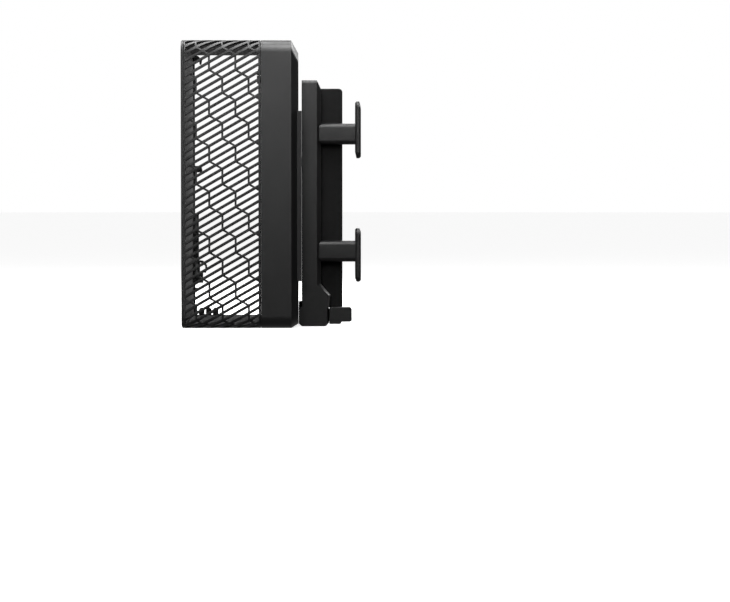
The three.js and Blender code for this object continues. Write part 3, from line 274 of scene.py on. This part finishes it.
def smooth_shading(piece):
    """Smooth shading that keeps the large faces flat."""
    for face in piece.data.polygons:
        face.use_smooth = True
    weighted = piece.modifiers.new("weighted", "WEIGHTED_NORMAL")
    weighted.keep_sharp = True


def round_edges(piece, width, segments=3):
    """Rounds every sharp edge and keeps the faces between them flat in shading."""
    bevel = piece.modifiers.new("bevel", "BEVEL")
    bevel.width = width
    bevel.segments = segments
    bevel.limit_method = "ANGLE"
    bevel.angle_limit = SHARP
    bevel.miter_outer = "MITER_ARC"
    bevel.use_clamp_overlap = True
    smooth_shading(piece)


def round_wide(working, width, is_wide):
    """Rounds the sharp edges that is_wide picks out, in steps too small to count as sharp themselves."""
    steps = 5
    sharp = [edge for edge in working.edges if edge.is_manifold and edge.calc_face_angle() > SHARP]
    chosen = [edge for edge in sharp if is_wide(edge)]
    bmesh.ops.bevel(
        working, geom=chosen, offset=width, segments=steps, profile=0.5, affect="EDGES", clamp_overlap=True)


NODE_SLOT = {row["node"]: row["material_slot"] for row in frame["record"]["subparts"]}
NODE_BODY = {
    node: body
    for body, nodes in frame["record"]["behaviour"]["bodies"].items()
    for node in nodes
}


def softened(node, width, segments=3, wide=None, is_wide=None):
    """A copy of a CAD node with rounded edges, which stands for the node.

    `wide` is a larger rounding for the edges that `is_wide` picks out.
    """
    mesh = frame["nodes"][node].data.copy()
    same_point = 0.002 * MM
    same_plane = math.radians(0.5)
    working = bmesh.new()
    working.from_mesh(mesh)
    bmesh.ops.remove_doubles(working, verts=working.verts, dist=same_point)
    bmesh.ops.dissolve_limit(
        working, angle_limit=same_plane, verts=working.verts, edges=working.edges)
    if wide:
        round_wide(working, wide, is_wide)
    working.to_mesh(mesh)
    working.free()
    piece = new_piece(f"{node}_look", mesh)
    cover(piece, NODE_SLOT[node])
    round_edges(piece, width, segments)
    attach(piece, NODE_BODY[node])
    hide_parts(node)
    return piece


# ------------------------------------------------------------------ shroud

GRILLE_LOW, GRILLE_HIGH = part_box("near_grille")
TOP_LOW, TOP_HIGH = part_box("top_grille")
FACE_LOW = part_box("face_panel")[0]

SHELL = TOP_HIGH.z - TOP_LOW.z
CORNER = GRILLE_HIGH.y - GRILLE_LOW.y
HEIGHT = GRILLE_HIGH.z
NEAR_Y = GRILLE_LOW.y
FAR_Y = TOP_HIGH.y
QUARTER = math.pi / 2 * CORNER
TOP_REACH = FAR_Y - NEAR_Y - CORNER

HEX_SIDE = 10.65 * MM
HEX_ACROSS = HEX_SIDE * math.sqrt(3)
SLATS_PER_HEX = 4
SLAT = 2.05 * MM
RIB = 1.45 * MM
RIM = 3.3 * MM
SEAM = 1.4 * MM
FAR_MARGIN = 5 * MM
HEX_ROW_HEIGHT = 106.7 * MM
HEX_COLUMN = 10.6 * MM
SMALLEST_SLIT = 2.5 * MM * MM
ARC_STEPS = 8
EDGE_CHAMFER = 0.2 * MM


def on_shroud(a, b, depth):
    """The point at a behind the face panel's front and b along the skin, `depth` inside it.

    b is the height on the near side, and goes on round the corners over the top and the bottom.
    """
    x = FACE_LOW.x + a
    middle_y = NEAR_Y + CORNER
    low, high = CORNER, HEIGHT - CORNER
    side = 1 if b > HEIGHT / 2 else -1
    edge = high if side > 0 else low
    past = side * (b - edge)
    if past <= 0:
        return Vector((x, NEAR_Y + depth, b))
    if past < QUARTER:
        angle = past / CORNER
        radius = CORNER - depth
        return Vector((x, middle_y - radius * math.cos(angle), edge + side * radius * math.sin(angle)))
    return Vector((x, middle_y + past - QUARTER, edge + side * (CORNER - depth)))


def clip(points, normal, limit):
    """The part of a convex polygon where normal . point <= limit."""
    kept = []
    for i, point in enumerate(points):
        after = points[(i + 1) % len(points)]
        here = normal.dot(point) - limit
        there = normal.dot(after) - limit
        if here <= 0:
            kept.append(point)
        if here * there < 0:
            kept.append(point.lerp(after, here / (here - there)))
    return kept


def area_of(points):
    """The area of a flat polygon."""
    total = 0
    for i, point in enumerate(points):
        after = points[(i + 1) % len(points)]
        total += point.x * after.y - after.x * point.y
    return abs(total) / 2


def hexagon_slits(centre):
    """The slits that the rising slats leave in one upright hexagon, as wide as at the skin's face."""
    across = Vector((1, 0))
    falling = Vector((0.5, math.sqrt(3) / 2))
    rising = Vector((-0.5, math.sqrt(3) / 2))
    inner = (HEX_ACROSS - RIB) / 2 + EDGE_CHAMFER
    pitch = HEX_ACROSS / SLATS_PER_HEX
    open_width = pitch - SLAT + 2 * EDGE_CHAMFER
    far = 2 * HEX_ACROSS
    slits = []
    for number in range(SLATS_PER_HEX):
        low = -HEX_ACROSS / 2 + number * pitch + SLAT / 2 - EDGE_CHAMFER
        slit = [Vector((-far, -far)), Vector((far, -far)), Vector((far, far)), Vector((-far, far))]
        slit = clip(slit, rising, low + open_width)
        slit = clip(slit, -rising, -low)
        for normal in (across, falling):
            slit = clip(slit, normal, inner)
            slit = clip(slit, -normal, inner)
        slits.append([point + centre for point in slit])
    return slits


def shroud_slits(a_span, b_span):
    """Every slit of the honeycomb that fits in the plain border of the skin."""
    row_step = 1.5 * HEX_SIDE
    first = math.floor((b_span[0] - HEX_ROW_HEIGHT) / row_step) - 1
    last = math.ceil((b_span[1] - HEX_ROW_HEIGHT) / row_step) + 1
    columns = math.ceil((a_span[1] - a_span[0]) / HEX_ACROSS) + 1
    found = []
    for row in range(first, last + 1):
        shift = HEX_ACROSS / 2 if row % 2 == 0 else 0
        for column in range(-1, columns):
            centre = Vector((HEX_COLUMN + shift + column * HEX_ACROSS, HEX_ROW_HEIGHT + row * row_step))
            for slit in hexagon_slits(centre):
                slit = clip(slit, Vector((1, 0)), a_span[1])
                slit = clip(slit, Vector((-1, 0)), -a_span[0])
                slit = clip(slit, Vector((0, 1)), b_span[1])
                slit = clip(slit, Vector((0, -1)), -b_span[0])
                if area_of(slit) > SMALLEST_SLIT:
                    found.append(slit)
    return found


def flat_skin(a_span, b_span, slits, folds):
    """Points and faces of the flat skin with its slits open, cut across at every fold."""
    (a_low, a_high), (b_low, b_high) = a_span, b_span
    corners = [(a_low, b_low), (a_high, b_low), (a_high, b_high), (a_low, b_high)]
    points = [Vector(corner) for corner in corners]
    outlines = [[0, 1, 2, 3]]
    for slit in slits:
        outlines.append(list(range(len(points), len(points) + len(slit))))
        points.extend(slit)
    lines = []
    for b in folds:
        lines.append((len(points), len(points) + 1))
        points.extend([Vector((a_low, b)), Vector((a_high, b))])
    # The triangulation works in millimetres, and so does its tolerance.
    scaled = [point / MM for point in points]
    triangles_to_hull = 0
    tolerance = 1e-4
    placed, _, faces, _, _, sources = delaunay_2d_cdt(
        scaled, lines, outlines, triangles_to_hull, tolerance)
    # A face that only the first outline holds is skin. The others are slits.
    kept = [face for face, source in zip(faces, sources) if list(source) == [0]]
    return [point * MM for point in placed], kept


def rims_of(faces):
    """Each point on a free edge, with the points before and after it on that edge."""
    ends = {(face[i - 1], face[i]) for face in faces for i in range(len(face))}
    free = [(start, end) for start, end in ends if (end, start) not in ends]
    before = {end: start for start, end in free}
    after = dict(free)
    return {point: (before[point], after[point]) for point in after}


def beside(flat, point, neighbours):
    """A point moved off the skin by the edge's chamfer, square to the two free edges it joins."""
    here, before, after = flat[point], flat[neighbours[0]], flat[neighbours[1]]
    arriving = (here - before).normalized()
    leaving = (after - here).normalized()
    first = Vector((arriving.y, -arriving.x))
    second = Vector((leaving.y, -leaving.x))
    middle = first + second
    least_opening = 0.5
    return here + middle * (EDGE_CHAMFER / max(middle.dot(first), least_opening))


def thick_mesh(name, flat, faces, place):
    """A closed mesh from a flat skin: two layers, and chamfered walls along every free edge."""
    rims = rims_of(faces)
    used = sorted({index for face in faces for index in face})
    outer = {index: number for number, index in enumerate(used)}
    points = [place(flat[index], 0) for index in used]
    inner = {index: number + len(points) for index, number in outer.items()}
    points += [place(flat[index], SHELL) for index in used]
    rings = [outer]
    for depth in (EDGE_CHAMFER, SHELL - EDGE_CHAMFER):
        rings.append({index: number + len(points) for number, index in enumerate(rims)})
        points += [place(beside(flat, index, rims[index]), depth) for index in rims]
    rings.append(inner)
    skin = [[outer[index] for index in face] for face in faces]
    skin += [[inner[index] for index in reversed(face)] for face in faces]
    for upper, lower in zip(rings, rings[1:]):
        for start, (_, end) in rims.items():
            skin.append([upper[end], upper[start], lower[start], lower[end]])
    mesh = bpy.data.meshes.new(name)
    mesh.from_pydata([tuple(point) for point in points], [], skin)
    mesh.validate()
    return mesh


def make_shroud():
    """Near side, top and bottom as the one moulding they are, with slats that wrap the corners."""
    a_span = (GRILLE_LOW.x - FACE_LOW.x + EDGE_CHAMFER, GRILLE_HIGH.x - FACE_LOW.x - EDGE_CHAMFER)
    b_reach = QUARTER + TOP_REACH - EDGE_CHAMFER
    b_span = (CORNER - b_reach, HEIGHT - CORNER + b_reach)
    slit_a = (RIM - EDGE_CHAMFER, a_span[1] + 2 * EDGE_CHAMFER - SEAM)
    slit_b = (b_span[0] + FAR_MARGIN, b_span[1] - FAR_MARGIN)
    folds = []
    for edge, side in ((CORNER, -1), (HEIGHT - CORNER, 1)):
        folds += [edge + side * QUARTER * step / ARC_STEPS for step in range(ARC_STEPS + 1)]
    flat, faces = flat_skin(a_span, b_span, shroud_slits(slit_a, slit_b), folds)
    mesh = thick_mesh("shroud", flat, faces, lambda point, depth: on_shroud(point.x, point.y, depth))
    shroud = new_piece("shroud_grille", mesh)
    cover(shroud, "shell_black")
    smooth_shading(shroud)
    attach(shroud, "shroud")
    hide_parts("near_grille", "top_grille", "bottom_grille")
    return shroud


make_shroud()


def make_seam_lip():
    """A thin spigot inside the shroud's back edge, which closes the seam to the tray."""
    back = GRILLE_HIGH.x - FACE_LOW.x
    start, end = back - 1.5 * MM, back + 0.25 * MM
    outside, inside = SHELL - 0.3 * MM, SHELL + 0.5 * MM
    section = [(start, outside), (end, outside), (end, inside), (start, inside)]
    reach = QUARTER + TOP_REACH - EDGE_CHAMFER
    low_end, high_end = CORNER - reach, HEIGHT - CORNER + reach
    turn = [QUARTER * step / ARC_STEPS for step in range(ARC_STEPS + 1)]
    stations = [low_end] + [CORNER - past for past in reversed(turn)]
    stations += [HEIGHT - CORNER + past for past in turn] + [high_end]
    points = [on_shroud(a, b, depth) for b in stations for a, depth in section]
    count = len(section)
    faces = [list(range(count)), list(reversed(range(len(points) - count, len(points))))]
    for level in range(len(stations) - 1):
        for i in range(count):
            here = level * count + i
            beside_it = level * count + (i + 1) % count
            faces.append([here, here + count, beside_it + count, beside_it])
    mesh = bpy.data.meshes.new("seam_lip")
    mesh.from_pydata([tuple(point) for point in points], [], faces)
    working = bmesh.new()
    working.from_mesh(mesh)
    bmesh.ops.recalc_face_normals(working, faces=working.faces)
    working.to_mesh(mesh)
    working.free()
    lip = new_piece("seam_lip", mesh)
    cover(lip, "shell_black")
    round_edges(lip, 0.15 * MM, 2)
    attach(lip, "shroud")


make_seam_lip()


def make_snap_lugs():
    """The three round-topped lugs on the shroud's floor, which the bottom panel carries in CAD."""
    low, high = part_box("bottom_grille")
    count = 3
    width, pitch, first = 4.2 * MM, 5.3 * MM, 5.8 * MM
    radius = width / 2
    foot = low.z + SHELL - 0.3 * MM
    near_y = FAR_Y - 9 * MM
    depth = 5 * MM
    arc_steps = 8
    working = bmesh.new()
    for number in range(count):
        left = FACE_LOW.x + first + number * pitch
        outline = [(left + width, foot)]
        for step in range(arc_steps + 1):
            angle = math.pi * step / arc_steps
            x = left + radius + radius * math.cos(angle)
            z = high.z - radius + radius * math.sin(angle)
            outline.append((x, z))
        outline.append((left, foot))
        near = [working.verts.new((x, near_y, z)) for x, z in outline]
        far = [working.verts.new((x, near_y + depth, z)) for x, z in outline]
        working.faces.new(near)
        working.faces.new(list(reversed(far)))
        for i, start in enumerate(near):
            after = (i + 1) % len(near)
            working.faces.new((near[after], start, far[i], far[after]))
    bmesh.ops.recalc_face_normals(working, faces=working.faces)
    mesh = bpy.data.meshes.new("snap_lugs")
    working.to_mesh(mesh)
    working.free()
    lugs = new_piece("snap_lugs", mesh)
    cover(lugs, "shell_black")
    round_edges(lugs, 0.3 * MM, 2)
    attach(lugs, "shroud")


make_snap_lugs()


# ------------------------------------------------------------------ the other parts

# The most that each piece's edges are rounded, in millimetres. Small facets can hold it to less.
ROUNDINGS = {
    "rear_tray": 0.6,
    "face_panel": 0.45,
    "clamp_cheek_near": 0.6,
    "clamp_cheek_far": 0.6,
    "upper_cable_post": 0.35,
    "lower_cable_post": 0.35,
    "release_latch": 0.6,
    "adapter_plate": 0.3,
    "inner_cover": 0.2,
    "cover_tab": 0.25,
    "power_button": 0.25,
    "thumbscrew": 0.2,
    "power_inlet": 0.25,
}

SMALL_ROUNDING = 0.4

for node_name, rounding in ROUNDINGS.items():
    softened(node_name, rounding * MM, 3 if rounding > SMALL_ROUNDING else 2)

BRACKET_ROUNDING = 0.7 * MM
SHOULDER_ROUNDING = 2.3 * MM
BRACKET_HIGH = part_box("mount_bracket")[1]


def on_bracket_shoulder(edge):
    """Whether an edge lies between the bracket's top and the outer face of a side wall."""
    slack = 0.1 * MM
    near_top = all(vertex.co.z > BRACKET_HIGH.z - slack for vertex in edge.verts)
    at_side = all(abs(vertex.co.y) > BRACKET_HIGH.y - slack for vertex in edge.verts)
    return near_top and at_side


softened("mount_bracket", BRACKET_ROUNDING, 3, SHOULDER_ROUNDING, on_bracket_shoulder)
DRESSED = [*ROUNDINGS, "mount_bracket"]

for node_name, node in frame["nodes"].items():
    if node_name not in DRESSED and not node.hide_render:
        cover(node, NODE_SLOT[node_name])


# ------------------------------------------------------------------ stage and light

def make_floor():
    """A plain pale disc, wide enough to run to the horizon."""
    mesh = bpy.data.meshes.new("floor")
    sides = 64
    radius = 12
    ring = []
    for i in range(sides):
        angle = 2 * math.pi * i / sides
        ring.append((radius * math.cos(angle), radius * math.sin(angle), 0))
    mesh.from_pydata(ring, [], [list(range(sides))])
    floor = new_piece("floor", mesh)
    shader = Shader("floor")
    shader.set(Specular_IOR_Level=0.2)
    shader.set(Emission_Color=(1, 1, 1, 1), Emission_Strength=0.85)
    colour = shader.blend(shader.noise(3, detail=1), (0.86, 0.86, 0.86), (0.88, 0.88, 0.88))
    floor.data.materials.append(shader.finish(colour, shader.remap(shader.noise(8), 0.6, 0.7)))
    just_below = 0.2 * MM
    floor.location.z = -just_below
    # The floor doesn't light the object, whose undersides stay dark.
    floor.visible_diffuse = False
    floor.visible_glossy = False


def make_world():
    """White where the camera sees it. As light: faint from below, and soft from behind and from the left."""
    world = bpy.data.worlds.new("world")
    bpy.context.scene.world = world
    world.use_nodes = True
    tree = world.node_tree
    sky = tree.nodes["Background"]
    sky.inputs["Color"].default_value = (1, 1, 1, 1)
    place = tree.nodes.new("ShaderNodeTexCoord")
    from_below = ((0, 0, -1), 0.12)
    from_behind = ((0, 1, 0), 0.3)
    from_left = ((-1, 0, 0), 0.1)
    total = None
    for direction, strength in (from_below, from_behind, from_left):
        towards = tree.nodes.new("ShaderNodeVectorMath")
        towards.operation = "DOT_PRODUCT"
        towards.inputs[1].default_value = direction
        share = tree.nodes.new("ShaderNodeMapRange")
        share.inputs["To Max"].default_value = strength
        tree.links.new(place.outputs["Generated"], towards.inputs[0])
        tree.links.new(towards.outputs["Value"], share.inputs["Value"])
        if total:
            add = tree.nodes.new("ShaderNodeMath")
            tree.links.new(total, add.inputs[0])
            tree.links.new(share.outputs["Result"], add.inputs[1])
            total = add.outputs["Value"]
        else:
            total = share.outputs["Result"]
    tree.links.new(total, sky.inputs["Strength"])
    white = tree.nodes.new("ShaderNodeBackground")
    white.inputs["Color"].default_value = (1, 1, 1, 1)
    white.inputs["Strength"].default_value = 1.0
    seen = tree.nodes.new("ShaderNodeLightPath")
    mix = tree.nodes.new("ShaderNodeMixShader")
    tree.links.new(seen.outputs["Is Camera Ray"], mix.inputs["Fac"])
    tree.links.new(sky.outputs["Background"], mix.inputs[1])
    tree.links.new(white.outputs["Background"], mix.inputs[2])
    tree.links.new(mix.outputs["Shader"], tree.nodes["World Output"].inputs["Surface"])


def soft_box(name, azimuth, elevation, distance, size, watts):
    """A square light aimed at the object. Azimuth 0 is on the grille side, 90 on the face panel's side."""
    target = Vector((0, -70 * MM, 100 * MM))
    around, up = math.radians(azimuth), math.radians(elevation)
    direction = Vector((-math.sin(around) * math.cos(up), -math.cos(around) * math.cos(up), math.sin(up)))
    data = bpy.data.lights.new(name, "AREA")
    data.size = size
    data.energy = watts
    lamp = bpy.data.objects.new(name, data)
    lamp.location = target + direction * distance
    lamp.rotation_euler = direction.to_track_quat("Z", "Y").to_euler()
    bpy.context.collection.objects.link(lamp)


make_floor()
make_world()
soft_box("front", 0, 18, 0.8, 0.3, 1.4)
soft_box("front_top", 0, 45, 0.45, 0.16, 0.6)
soft_box("top", 0, 65, 0.45, 0.16, 1.3)
soft_box("top_behind", -50, 105, 0.8, 0.3, 6.1)
soft_box("behind", 200, 35, 0.9, 0.5, 3)
soft_box("left", 125, 35, 0.9, 0.5, 4)
soft_box("left_front", 52, 8, 0.9, 0.4, 2.5)
soft_box("right", -135, 25, 0.9, 0.5, 4)
bpy.context.scene.view_settings.view_transform = "Standard"
